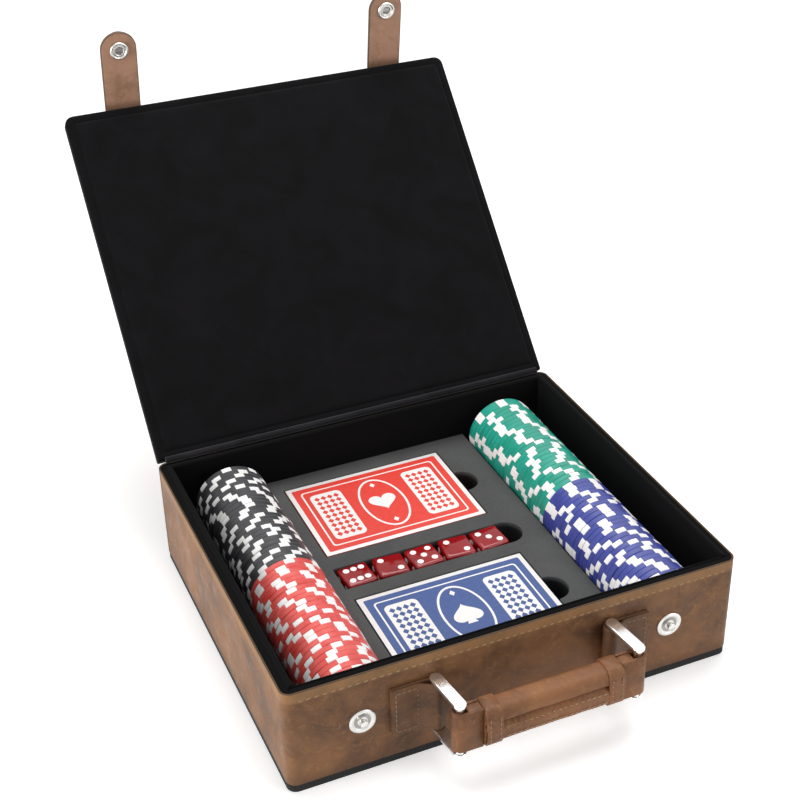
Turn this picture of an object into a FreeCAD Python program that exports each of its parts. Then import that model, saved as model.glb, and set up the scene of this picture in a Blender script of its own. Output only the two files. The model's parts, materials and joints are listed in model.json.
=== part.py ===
import FreeCAD, Part
import math
import os

# Poker set case, shown open: a leather-covered tray with a hinged lid, two snap
# straps, a carrying handle on two rings, and foam that holds chips, cards and dice.
# Millimetres. X runs to the right along the front, Y to the back, Z up.
# The origin is the centre of the base's underside.
# The tray is sized to what it holds, with the named gaps and margins round it.

# Chips
chip_diameter = 39.0
chip_thickness = 3.45
chip_gap = 0.05
chip_edge = 0.35
chips_per_colour = 25
chip_front_gap = 1.0
chip_end_gap = 7.8
chip_side_gap = 8.2
chip_seat_gap = 0.3
chip_below_rim = 2.5
chip_clearance = 0.5

# Card boxes and cards
card_length = 88.0
card_width = 62.4
card_stack = 16.1
card_corner = 3.2
box_board = 0.35
box_slack = 0.25

# Dice
die_size = 16.0
die_edge = 1.4
die_count = 5
die_gap = 2.2
die_turn = 4.0
die_row_start = 0.1
die_row_shift = -0.85

# Foam
foam_base_height = 10.7
deck_sunk = 0.2
foam_margin_left = 8.7
foam_margin_right = 12.3
foam_margin_front = 6.7
foam_margin_back = 10.2
rail_height = 7.0
pocket_clearance = 0.7
finger_notch_radius = 9.0
slot_clearance = 1.6
slot_depth = 15.5

# Tray walls and lining
leather = 1.0
board = 3.0
lining_side = 3.0
lining_front = 1.2
lining_cap = 0.6
cap_drop = 0.4
floor_lining = 1.0
base_thickness = 4.0
base_inset = 0.3
corner_radius = 5.0
cover_seam_from_back = 6.0

# Lid, drawn closed and then turned open about the hinge roll
lid_open_angle = 133.3
lid_front_overhang = 3.0
lid_side_inset = 1.2
lid_corner_radius = 5.0
lid_clearance = 0.5
lid_padding = 2.0
lid_board = 4.0
lid_edge_lining = 1.0
lid_edge_round = 1.6
lid_cover_inset = 0.4
hinge_roll_radius = 1.7
hinge_back_inset = 0.7
hinge_play = 0.1

# Snap straps
strap_from_side = 35.9
strap_width = 20.0
strap_thickness = 2.0
strap_base_length = 24.0
strap_fold_gap = 0.3
strap_corner = 3.0
strap_rest_angle = 52.0
snap_below_rim = 27.2
snap_radius = 6.5
snap_disc = 1.0
disc_round = 0.5
nub_radius = 2.0
nub_height = 2.2
nub_round = 0.7
socket_radius = 5.2
socket_height = 1.5
socket_play = 0.3
socket_stand_off = 0.8
rivet_wall = 0.9
rivet_play = 0.02
cap_height = 1.6
cap_round = 1.0

# Handle
handle_below_rim = 26.4
ring_pivot_x = 44.5
ring_reach = 19.5
ring_tilt = 7.0
ring_bar_radius = 2.2
ring_bar_width = 6.3
ring_bar_thickness = 2.1
ring_edge = 0.7
ring_end_gap = 0.2
loop_wall = 1.7
pivot_play = 0.05
open_pivot_play = 0.3
tab_length = 21.0
tab_height = 26.0
tab_thickness = 3.0
tab_slope = 9.0
end_loop_height = 22.0
end_loop_length = 10.0
grip_height = 19.5
grip_depth = 13.0
grip_skin = 1.3
grip_round = 0.75
keeper_length = 8.0
keeper_swell = 1.0

# Sizes of what the case holds
chip_radius = chip_diameter / 2
chip_pitch = chip_thickness + chip_gap
row_length = 2 * chips_per_colour * chip_pitch
deck_length = card_length + 2 * (box_slack + box_board)
deck_width = card_width + 2 * (box_slack + box_board)
deck_height = card_stack + 2 * (box_slack + box_board)
die_pitch = die_size + die_gap

# The tray round them
foam_between_rows = (foam_margin_left + deck_length + 2 * pocket_clearance
                     + finger_notch_radius + foam_margin_right)
chip_column_x = foam_between_rows / 2 + chip_radius
inside_x = chip_column_x + chip_radius + chip_side_gap
board_in_x = inside_x + lining_side
board_out_x = board_in_x + board
half_width = board_out_x + leather
case_width = 2 * half_width
inside_depth = chip_front_gap + row_length + chip_end_gap
case_depth = inside_depth + lining_front + lining_side + 2 * (board + leather)
half_depth = case_depth / 2
board_out_y = half_depth - leather
board_in_y = board_out_y - board
inside_back_y = board_in_y - lining_side
inside_front_y = -(board_in_y - lining_front)
floor_top = base_thickness + floor_lining
foam_seat = floor_top + foam_base_height
foam_top = foam_seat + deck_height + deck_sunk
chip_axis_z = foam_seat + chip_seat_gap + chip_radius
rim_height = chip_axis_z + chip_radius + chip_below_rim
cap_top = rim_height - cap_drop
crest_top = cap_top + lining_side / 2

# Places in the foam
chip_front_y = inside_front_y + chip_front_gap
deck_centre_x = foam_margin_left + pocket_clearance + deck_length / 2 - foam_between_rows / 2
deck_red_y = inside_back_y - foam_margin_back - pocket_clearance - deck_width / 2
deck_blue_y = inside_front_y + foam_margin_front + pocket_clearance + deck_width / 2
die_first_x = deck_centre_x - deck_length / 2 + die_row_start + die_size / 2
die_row_y = (deck_red_y + deck_blue_y) / 2 + die_row_shift

# Places of the lid, the straps and the handle
hinge_y = half_depth - hinge_back_inset
hinge_z = rim_height + hinge_roll_radius
lid_bottom = crest_top + lid_clearance
lid_top = lid_bottom + lid_padding + lid_board
lid_front_y = -(half_depth + lid_front_overhang)
snap_height = rim_height - snap_below_rim
strap_x = half_width - strap_from_side
strap_axis_y = -(half_depth + snap_disc + socket_stand_off + socket_height + strap_thickness / 2)
strap_axis_z = lid_top + leather + strap_thickness / 2
snap_reach = strap_axis_z - snap_height
rivet_radius = nub_radius + socket_play + rivet_wall
handle_z = rim_height - handle_below_rim
loop_radius = ring_bar_radius + loop_wall
ring_opening = tab_height + 2 * ring_end_gap
ring_pivot_y = -(half_depth + loop_radius)
ring_shift_x = ring_reach * math.sin(math.radians(ring_tilt))
ring_outer_y = ring_pivot_y - ring_reach * math.cos(math.radians(ring_tilt))

# The distance within which two places count as the same
hair = 0.01

UP = FreeCAD.Vector(0, 0, 1)
RIGHT = FreeCAD.Vector(1, 0, 0)
LEFTWARD = FreeCAD.Vector(-1, 0, 0)
BACK = FreeCAD.Vector(0, 1, 0)


def block(x0, x1, y0, y1, z0, z1):
    """A box from its low to its high corner."""
    return Part.makeBox(x1 - x0, y1 - y0, z1 - z0, FreeCAD.Vector(x0, y0, z0))


def prism(points, z0, z1):
    """A straight-sided solid over a flat outline of (x, y) points."""
    outline = [FreeCAD.Vector(x, y, z0) for x, y in points]
    wire = Part.makePolygon(outline + [outline[0]])
    return Part.Face(wire).extrude(UP * (z1 - z0))


def rounded_block(x0, x1, y0, y1, z0, z1, radius):
    """A box with its four upright edges rounded."""
    solid = block(x0, x1, y0, y1, z0, z1)
    upright = [edge for edge in solid.Edges if abs(edge.tangentAt(edge.FirstParameter).z) > 0.99]
    return solid.makeFillet(radius, upright)


def tray_block(inset, z0, z1):
    """The tray's outline, drawn in by inset, with its corners rounded to match."""
    x = half_width - inset
    y = half_depth - inset
    return rounded_block(-x, x, -y, y, z0, z1, corner_radius - inset)


def cylinder(radius, x, y, z, direction, length):
    return Part.makeCylinder(radius, length, FreeCAD.Vector(x, y, z), direction)


# Tray shell


def base_board():
    return tray_block(base_inset, 0, base_thickness)


def leather_ring():
    outside = tray_block(0, base_thickness, rim_height)
    inside = tray_block(leather, base_thickness, rim_height)
    return outside.cut(inside)


def tray_cover():
    """Leather round the front and the sides, up to the seams near the back corners."""
    seam_y = half_depth - cover_seam_from_back
    keep = block(-case_width, case_width, -case_depth, seam_y, 0, case_depth)
    return leather_ring().common(keep)


def back_cover():
    """Leather over the back, wrapped round both corners to the seams."""
    seam_y = half_depth - cover_seam_from_back
    keep = block(-case_width, case_width, seam_y, case_depth, 0, case_depth)
    return leather_ring().common(keep)


def wall_board(side):
    """One board of the tray's frame; the front and back boards run past the side ones."""
    top = cap_top - lining_cap
    if side in ("front", "back"):
        sign = -1 if side == "front" else 1
        y = sorted((sign * board_in_y, sign * board_out_y))
        plank = block(-board_out_x, board_out_x, y[0], y[1], base_thickness, top)
    else:
        sign = -1 if side == "left" else 1
        x = sorted((sign * board_in_x, sign * board_out_x))
        plank = block(x[0], x[1], -board_in_y, board_in_y, base_thickness, top)
    return plank.common(tray_block(leather, base_thickness, top))


def lining_profile(thickness):
    """Outline of a lining strip, across its wall: a padded panel with a round crest and a flat cap.

    The first number runs from the board's outer face towards the inside, the second is the height.
    """
    inner = board + thickness
    crest = thickness / 2
    point = FreeCAD.Vector
    low_cap = cap_top - lining_cap
    lines = [
        Part.makeLine(point(board, 0, base_thickness), point(inner, 0, base_thickness)),
        Part.makeLine(point(inner, 0, base_thickness), point(inner, 0, cap_top)),
        Part.Arc(point(inner, 0, cap_top), point(board + crest, 0, cap_top + crest),
                 point(board, 0, cap_top)).toShape(),
        Part.makeLine(point(board, 0, cap_top), point(0, 0, cap_top)),
        Part.makeLine(point(0, 0, cap_top), point(0, 0, low_cap)),
        Part.makeLine(point(0, 0, low_cap), point(board, 0, low_cap)),
        Part.makeLine(point(board, 0, low_cap), point(board, 0, base_thickness)),
    ]
    return Part.Face(Part.Wire(lines))


def corner_line(side_x, side_y):
    """Where two linings meet at a corner: across the rim, then between the boards and the inside."""
    inner_y = inside_front_y if side_y < 0 else inside_back_y
    return [(side_x * board_out_x, side_y * board_out_y),
            (side_x * board_in_x, side_y * board_in_y),
            (side_x * inside_x, inner_y)]


def lining(side):
    """A lining strip, mitred against its neighbours at both ends."""
    ends = {"front": ((-1, -1), (1, -1)), "back": ((-1, 1), (1, 1)),
            "left": ((-1, -1), (-1, 1)), "right": ((1, -1), (1, 1))}[side]
    room = corner_line(*ends[0]) + corner_line(*ends[1])[::-1]
    turn = {"left": 0, "front": 90, "right": 180, "back": 270}[side]
    reach = board_out_y if side in ("front", "back") else board_out_x
    strip = lining_profile(lining_front if side == "front" else lining_side)
    strip = strip.extrude(BACK * 2 * case_width)
    strip.translate(FreeCAD.Vector(-reach, -case_width, 0))
    strip.rotate(FreeCAD.Vector(0, 0, 0), UP, turn)
    mitred = strip.common(prism(room, 0, 2 * rim_height))
    return mitred.common(tray_block(leather, 0, 2 * rim_height))


def floor_sheet():
    return block(-inside_x, inside_x, inside_front_y, inside_back_y, base_thickness, floor_top)


# Foam insert


def chip_channel(side, extra):
    """The round space along one chip column, as long as the tray."""
    return cylinder(chip_radius + extra, side * chip_column_x, -case_depth, chip_axis_z, BACK, 2 * case_depth)


def deck_pocket(centre_y):
    """Room for a card box, with a half-round finger notch at its right end."""
    half_x = deck_length / 2 + pocket_clearance
    half_y = deck_width / 2 + pocket_clearance
    room = block(deck_centre_x - half_x, deck_centre_x + half_x, centre_y - half_y, centre_y + half_y,
                 foam_seat, foam_top)
    notch = cylinder(finger_notch_radius, deck_centre_x + half_x, centre_y, foam_seat, UP, foam_top - foam_seat)
    return room.fuse(notch)


def dice_slot():
    """A long slot whose right end is round, so that a finger gets behind the last die."""
    half_y = (die_size + slot_clearance) / 2
    left = die_first_x - die_size / 2 - slot_clearance
    right = die_first_x + (die_count - 1) * die_pitch + die_size / 2 + slot_clearance
    low = foam_top - slot_depth
    room = block(left, right, die_row_y - half_y, die_row_y + half_y, low, foam_top)
    notch = cylinder(half_y, right, die_row_y, low, UP, foam_top - low)
    return room.fuse(notch)


def foam_insert():
    """The upper foam sheet: pockets for the cards, a slot for the dice and hollow sides for the chips."""
    edge = chip_column_x
    sheet = block(-edge, edge, inside_front_y, inside_back_y, foam_seat, foam_top)
    for side in (-1, 1):
        sheet = sheet.cut(chip_channel(side, chip_clearance))
        low, high = sorted((side * edge, side * case_width))
        outer_rest = block(low, high, -case_depth, case_depth, 0, case_depth)
        sheet = sheet.cut(outer_rest)
    for centre_y in (deck_red_y, deck_blue_y):
        sheet = sheet.cut(deck_pocket(centre_y))
    return sheet.cut(dice_slot())


def foam_base():
    """The plain lower foam sheet that everything stands on."""
    return block(-inside_x, inside_x, inside_front_y, inside_back_y, floor_top, foam_seat)


def chip_rail(side):
    """A low foam strip between a chip column and the side wall."""
    x = sorted((side * chip_column_x, side * inside_x))
    strip = block(x[0], x[1], inside_front_y, inside_back_y, foam_seat, foam_seat + rail_height)
    strip = strip.cut(chip_channel(side, chip_clearance))
    return max(strip.Solids, key=lambda solid: abs(solid.CenterOfMass.x))


# What the case holds


def chip_stack(side, first_y):
    """A colour's chips standing on edge in a row, as separate discs."""
    chips = []
    for index in range(chips_per_colour):
        y = first_y + index * chip_pitch
        disc = cylinder(chip_radius, side * chip_column_x, y, chip_axis_z, BACK, chip_thickness)
        rims = [edge for edge in disc.Edges if edge.Closed and isinstance(edge.Curve, Part.Circle)]
        chips.append(disc.makeChamfer(chip_edge, rims))
    return Part.makeCompound(chips)


def card_box(centre_y):
    """A paperboard box, closed, with the cards' space inside."""
    x = deck_length / 2
    y = deck_width / 2
    outside = block(deck_centre_x - x, deck_centre_x + x, centre_y - y, centre_y + y,
                    foam_seat, foam_seat + deck_height)
    x -= box_board
    y -= box_board
    inside = block(deck_centre_x - x, deck_centre_x + x, centre_y - y, centre_y + y,
                   foam_seat + box_board, foam_seat + deck_height - box_board)
    return outside.cut(inside)


def cards(centre_y):
    """The block of cards in its box, lying on the box's floor."""
    low = foam_seat + box_board
    x = card_length / 2
    y = card_width / 2
    return rounded_block(deck_centre_x - x, deck_centre_x + x, centre_y - y, centre_y + y,
                         low, low + card_stack, card_corner)


def dice():
    """The dice in a row, turned a little to and fro in the slot."""
    row = []
    seat = foam_top - slot_depth
    for index in range(die_count):
        x = die_first_x + index * die_pitch
        half = die_size / 2
        die = block(-half, half, -half, half, 0, die_size)
        die = die.makeFillet(die_edge, die.Edges)
        die.rotate(FreeCAD.Vector(0, 0, 0), UP, die_turn * (-1) ** index)
        die.translate(FreeCAD.Vector(x, die_row_y, seat))
        row.append(die)
    return Part.makeCompound(row)


# Lid


def open_lid(shape):
    """Turns a piece that was drawn on the closed lid to where the open lid holds it."""
    turned = shape.copy()
    turned.rotate(FreeCAD.Vector(0, hinge_y, hinge_z), LEFTWARD, lid_open_angle)
    return turned


def lid_block(inset, z0, z1):
    """The lid's outline, drawn in by inset: round corners in front, square ones at the hinge."""
    x = half_width - lid_side_inset - inset
    front = lid_front_y + inset
    solid = block(-x, x, front, hinge_y - inset, z0, z1)
    corners = [edge for edge in solid.Edges
               if edge.BoundBox.ZLength > z1 - z0 - hair and edge.BoundBox.YMax < front + hair]
    return solid.makeFillet(lid_corner_radius - inset, corners)


def hinge_room():
    """The room that the hinge roll needs in the lid's edge."""
    radius = hinge_roll_radius + hinge_play
    return cylinder(radius, -case_width, hinge_y, hinge_z, RIGHT, 2 * case_width)


def lid_lining():
    """The padded inner face of the lid, turned up round its edges."""
    pan = lid_block(0, lid_bottom, lid_top)
    rim = [edge for edge in pan.Edges
           if edge.BoundBox.ZMax < lid_bottom + hair and edge.BoundBox.YMin < hinge_y - hair]
    pan = pan.makeFillet(lid_edge_round, rim)
    hollow = lid_block(lid_edge_lining, lid_bottom + lid_padding, lid_top)
    return pan.cut(hollow).cut(hinge_room())


def lid_board_panel():
    return lid_block(lid_edge_lining, lid_bottom + lid_padding, lid_top)


def lid_cover():
    """Leather over the lid's outer face, with its rim rounded off."""
    sheet = lid_block(lid_cover_inset, lid_top, lid_top + leather)
    rim = [edge for edge in sheet.Edges if edge.BoundBox.ZMin > lid_top + leather - hair]
    return sheet.makeFillet(leather / 2, rim)


def hinge_roll():
    """The rolled cloth along the tray's back rim that the lid turns on."""
    length = case_width - 2 * corner_radius
    return cylinder(hinge_roll_radius, -length / 2, hinge_y, hinge_z, RIGHT, length)


# Snap straps


def strap_base(side):
    """The end of a strap that is stitched to the lid's outer face."""
    low = lid_top + leather
    half = strap_width / 2
    x = side * strap_x
    front = strap_axis_y + strap_thickness / 2 + strap_fold_gap
    back = lid_front_y + strap_base_length
    patch = block(x - half, x + half, front, back, low, low + strap_thickness)
    corners = [edge for edge in patch.Edges
               if edge.BoundBox.ZLength > strap_thickness - hair and edge.BoundBox.YMin > back - hair]
    return patch.makeFillet(strap_corner, corners)


def strap_flap(side):
    """The free end of a strap: round at the tip, with a hole for its snap."""
    half = strap_width / 2
    thick = strap_thickness / 2
    x = side * strap_x
    low = strap_axis_z - thick
    tongue = block(x - half, x + half, strap_axis_y - snap_reach, strap_axis_y, low, low + strap_thickness)
    tip = cylinder(half, x, strap_axis_y - snap_reach, low, UP, strap_thickness)
    nose = cylinder(thick, x - half, strap_axis_y, strap_axis_z, RIGHT, strap_width)
    hole = cylinder(rivet_radius, x, strap_axis_y - snap_reach, low, UP, strap_thickness)
    return tongue.fuse([tip, nose]).removeSplitter().cut(hole)


def strap_snap(side):
    """A snap through the strap: a domed cap outside, and a socket with its hole inside."""
    x = side * strap_x
    y = strap_axis_y - snap_reach
    low = strap_axis_z - strap_thickness / 2
    high = low + strap_thickness
    socket = cylinder(socket_radius, x, y, low - socket_height, UP, socket_height)
    barrel = cylinder(rivet_radius - rivet_play, x, y, low, UP, strap_thickness)
    cap = cylinder(snap_radius, x, y, high, UP, cap_height)
    rim = [edge for edge in cap.Edges if edge.BoundBox.ZMin > high + cap_height - hair and edge.Closed]
    cap = cap.makeFillet(cap_round, rim)
    body = socket.fuse([barrel, cap]).removeSplitter()
    depth = nub_height + socket_play
    bore = cylinder(nub_radius + socket_play, x, y, low - socket_height, UP, depth)
    return body.cut(bore)


def bend_strap(shape):
    """Turns a piece of the free strap about its fold to the angle at which it stands."""
    turned = shape.copy()
    turned.rotate(FreeCAD.Vector(0, strap_axis_y, strap_axis_z), RIGHT, strap_rest_angle)
    return turned


def snap_stud(side):
    """The stud on the tray's front that a strap's socket presses onto."""
    x = side * strap_x
    forward = BACK * -1
    disc = cylinder(snap_radius, x, -half_depth, snap_height, forward, snap_disc)
    rim = [edge for edge in disc.Edges if edge.Closed and edge.BoundBox.YMax < -half_depth - snap_disc + hair]
    disc = disc.makeFillet(disc_round, rim)
    nub = cylinder(nub_radius, x, -half_depth - snap_disc, snap_height, forward, nub_height)
    rim = [edge for edge in nub.Edges
           if edge.Closed and edge.BoundBox.YMax < -half_depth - snap_disc - nub_height + hair]
    nub = nub.makeFillet(nub_round, rim)
    return disc.fuse(nub).removeSplitter()


# Handle


def handle_tab(side):
    """A leather tab on the front wall, folded round the inner bar of its ring."""
    x = side * ring_pivot_x
    low = handle_z - tab_height / 2
    high = handle_z + tab_height / 2
    face = -half_depth
    outline = ((x, face), (x + side * tab_length, face), (x + side * tab_length, face - tab_thickness),
               (x + side * tab_slope, face - tab_thickness), (x, ring_pivot_y - loop_radius))
    patch = prism(outline, low, high)
    loop = cylinder(loop_radius, x, ring_pivot_y, low, UP, tab_height)
    bore = cylinder(ring_bar_radius + pivot_play, x, ring_pivot_y, low, UP, tab_height)
    return patch.fuse(loop).removeSplitter().cut(bore)


def ring_plate(x, z):
    """A flat bar of a ring, round at both ends, lying between its two upright bars."""
    half = ring_bar_width / 2
    y = ring_pivot_y - ring_reach
    plate = block(x - half, x + half, y, ring_pivot_y, z, z + ring_bar_thickness)
    for end_y in (y, ring_pivot_y):
        plate = plate.fuse(cylinder(half, x, end_y, z, UP, ring_bar_thickness))
    plate = plate.removeSplitter()
    flat_rims = [edge for edge in plate.Edges if edge.BoundBox.ZLength < hair]
    return plate.makeFillet(ring_edge, flat_rims)


def ring(side):
    """A rectangular metal ring: two round upright bars joined by flat bars above and below."""
    x = side * ring_pivot_x
    low = handle_z - ring_opening / 2
    frame = cylinder(ring_bar_radius, x, ring_pivot_y, low, UP, ring_opening)
    outer_bar = cylinder(ring_bar_radius, x, ring_pivot_y - ring_reach, low, UP, ring_opening)
    plates = [ring_plate(x, low - ring_bar_thickness), ring_plate(x, low + ring_opening)]
    frame = frame.fuse([outer_bar] + plates).removeSplitter()
    frame.rotate(FreeCAD.Vector(x, ring_pivot_y, 0), UP, ring_tilt)
    return frame


def end_loop(side):
    """The leather loop at one end of the handle, round the outer bar of its ring."""
    x = side * ring_pivot_x + ring_shift_x
    low = handle_z - end_loop_height / 2
    play = pivot_play if side < 0 else open_pivot_play
    span = sorted((x, x - side * end_loop_length))
    body = block(span[0], span[1], ring_outer_y - loop_radius, ring_outer_y + loop_radius,
                 low, low + end_loop_height)
    loop = cylinder(loop_radius, x, ring_outer_y, low, UP, end_loop_height)
    bore = cylinder(ring_bar_radius + play, x, ring_outer_y, low, UP, end_loop_height)
    return body.fuse(loop).removeSplitter().cut(bore)


def grip_bar(swell, x0, x1):
    """A stretch of the grip: a bar with well rounded long edges, swell thicker all round."""
    depth = grip_depth / 2 + swell
    height = grip_height / 2 + swell
    roundness = grip_round * min(depth, height)
    bar = block(x0, x1, ring_outer_y - depth, ring_outer_y + depth, handle_z - height, handle_z + height)
    long_edges = [edge for edge in bar.Edges if edge.BoundBox.XLength > x1 - x0 - hair]
    return bar.makeFillet(roundness, long_edges)


def grip_span():
    """Where the grip starts and ends between the two end loops."""
    half = ring_pivot_x - end_loop_length
    return ring_shift_x - half, ring_shift_x + half


def grip_core():
    x0, x1 = grip_span()
    return grip_bar(-grip_skin, x0, x1)


def grip_cover():
    """The leather round the grip's core, between its keepers."""
    x0, x1 = grip_span()
    return grip_bar(0, x0, x1).cut(grip_bar(-grip_skin, x0, x1))


def grip_keeper(side):
    """A raised leather band round one end of the grip."""
    x0, x1 = grip_span()
    span = (x0, x0 + keeper_length) if side < 0 else (x1 - keeper_length, x1)
    return grip_bar(keeper_swell, *span).cut(grip_bar(0, *span))


def nodes():
    """Every piece of the case, by the name of its node."""
    red_y = chip_front_y
    black_y = chip_front_y + chips_per_colour * chip_pitch
    pieces = {
        "base_board": base_board(),
        "tray_cover": tray_cover(),
        "back_cover": back_cover(),
        "floor_lining": floor_sheet(),
        "foam_insert": foam_insert(),
        "foam_base": foam_base(),
        "chips_red": chip_stack(-1, red_y),
        "chips_black": chip_stack(-1, black_y),
        "chips_blue": chip_stack(1, red_y),
        "chips_green": chip_stack(1, black_y),
        "card_box_red": card_box(deck_red_y),
        "card_box_blue": card_box(deck_blue_y),
        "cards_red": cards(deck_red_y),
        "cards_blue": cards(deck_blue_y),
        "dice": dice(),
        "hinge_roll": hinge_roll(),
        "lid_lining": open_lid(lid_lining()),
        "lid_board": open_lid(lid_board_panel()),
        "lid_cover": open_lid(lid_cover()),
        "snap_studs": Part.makeCompound([snap_stud(-1), snap_stud(1)]),
        "grip_core": grip_core(),
        "grip_cover": grip_cover(),
    }
    for side in ("front", "back", "left", "right"):
        pieces["wall_board_" + side] = wall_board(side)
        pieces["lining_" + side] = lining(side)
    for side, name in ((-1, "left"), (1, "right")):
        pieces["chip_rail_" + name] = chip_rail(side)
        pieces["strap_base_" + name] = open_lid(strap_base(side))
        pieces["strap_flap_" + name] = open_lid(bend_strap(strap_flap(side)))
        pieces["strap_snap_" + name] = open_lid(bend_strap(strap_snap(side)))
        pieces["handle_tab_" + name] = handle_tab(side)
        pieces["ring_" + name] = ring(side)
        pieces["end_loop_" + name] = end_loop(side)
        pieces["grip_keeper_" + name] = grip_keeper(side)
    return pieces


def main():
    os.makedirs("parts", exist_ok=True)
    for node, shape in nodes().items():
        shape.exportStep("parts/" + node + ".step")
        print(node, len(shape.Solids), "solids, valid:", shape.isValid(), "volume:", round(shape.Volume, 1))


main()
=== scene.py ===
import json
import math
import random

import bmesh
import bpy
from mathutils import Matrix, Vector, noise


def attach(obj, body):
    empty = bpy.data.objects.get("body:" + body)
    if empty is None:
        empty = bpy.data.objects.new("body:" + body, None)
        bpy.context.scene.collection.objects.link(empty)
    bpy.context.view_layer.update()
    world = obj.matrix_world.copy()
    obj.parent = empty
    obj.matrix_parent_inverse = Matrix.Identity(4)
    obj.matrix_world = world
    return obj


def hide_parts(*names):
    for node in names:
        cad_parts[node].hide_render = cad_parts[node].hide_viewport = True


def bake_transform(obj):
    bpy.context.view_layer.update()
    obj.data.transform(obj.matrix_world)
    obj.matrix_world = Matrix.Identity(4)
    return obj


# Poker set case, open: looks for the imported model. Metres, in the model's own frame.

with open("model.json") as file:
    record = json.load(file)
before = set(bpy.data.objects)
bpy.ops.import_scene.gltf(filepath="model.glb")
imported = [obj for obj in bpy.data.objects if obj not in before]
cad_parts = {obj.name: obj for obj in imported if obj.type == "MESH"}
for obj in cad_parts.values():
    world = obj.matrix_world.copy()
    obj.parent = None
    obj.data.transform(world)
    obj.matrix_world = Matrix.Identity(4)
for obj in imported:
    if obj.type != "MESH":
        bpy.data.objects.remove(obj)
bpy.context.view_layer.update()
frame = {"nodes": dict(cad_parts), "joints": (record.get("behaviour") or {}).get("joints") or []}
random.seed(11)

MM = 0.001
X_AXIS = Vector((1, 0, 0))
Y_AXIS = Vector((0, 1, 0))
Z_AXIS = Vector((0, 0, 1))

# Camera, worked out from the case's own edges in the photograph
camera_place_mm = (-252.70, -567.20, 500.71)
camera_heading = 22.659
camera_tilt = 31.396
camera_roll = -1.425
camera_lens = 68.564
camera_sensor = 36.0

# Leather goods
stitch_length = 2.4 * MM
stitch_width = 0.6 * MM
stitch_height = 0.45 * MM
stitch_pitch = 3.8 * MM
fine_stitch_pitch = 2.9 * MM
front_stitch_drop = 5.0 * MM
lid_stitch_inset = 4.5 * MM

# The joints give where the lid and the straps turn
joints = {joint["name"]: joint for joint in frame["joints"]}
hinge = Vector(joints["lid_hinge"]["pos_m"])
open_angle = math.radians(-joints["lid_hinge"]["range_deg"][0])
strap_bend = math.radians(-joints["strap_fold_left"]["range_deg"][0])


def turning(point, axis, angle):
    """The turn about an axis through a point."""
    return Matrix.Translation(point) @ Matrix.Rotation(angle, 4, axis) @ Matrix.Translation(-point)


LID_OPEN = turning(hinge, -X_AXIS, open_angle)
LID_CLOSED = LID_OPEN.inverted()


def strap_axis(side):
    """Where a strap folds, with the lid closed."""
    return LID_CLOSED @ Vector(joints["strap_fold_" + side]["pos_m"])


def strap_stand(side):
    """Takes a piece drawn on the closed lid and the straight strap to where the strap stands."""
    return LID_OPEN @ turning(strap_axis(side), X_AXIS, strap_bend)


def box_of(node, matrix=None):
    """Lowest and highest corner of a CAD node, seen after a turn."""
    matrix = matrix or Matrix.Identity(4)
    points = [matrix @ vertex.co for vertex in frame["nodes"][node].data.vertices]
    low = Vector([min(point[i] for point in points) for i in range(3)])
    high = Vector([max(point[i] for point in points) for i in range(3)])
    return low, high


rim_height = box_of("tray_cover")[1].z

# Materials


def linear(code):
    """An sRGB hex colour as linear red, green, blue and alpha."""
    parts = [int(code[i:i + 2], 16) / 255 for i in (0, 2, 4)]
    return [part / 12.92 if part <= 0.04045 else ((part + 0.055) / 1.055) ** 2.4 for part in parts] + [1.0]


def per_metre(size_mm):
    """Texture scale for a feature of this size."""
    return 1000 / size_mm


def add(tree, kind, inputs=None, **settings):
    """Adds a node, gives it its settings, and fills or links its inputs."""
    node = tree.nodes.new(kind)
    for name, value in settings.items():
        setattr(node, name, value)
    for name, value in (inputs or {}).items():
        socket = node.inputs[name]
        if isinstance(value, bpy.types.NodeSocket):
            tree.links.new(value, socket)
        else:
            socket.default_value = value
    return node


def finish(name, **sockets):
    """A material with its shader's own sockets set; names are written with underscores."""
    material = bpy.data.materials.new(name)
    material.use_nodes = True
    tree = material.node_tree
    shader = tree.nodes["Principled BSDF"]
    for socket, value in sockets.items():
        shader.inputs[socket.replace("_", " ")].default_value = value
    place = add(tree, "ShaderNodeTexCoord").outputs["Object"]
    return material, tree, shader, place


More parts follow.
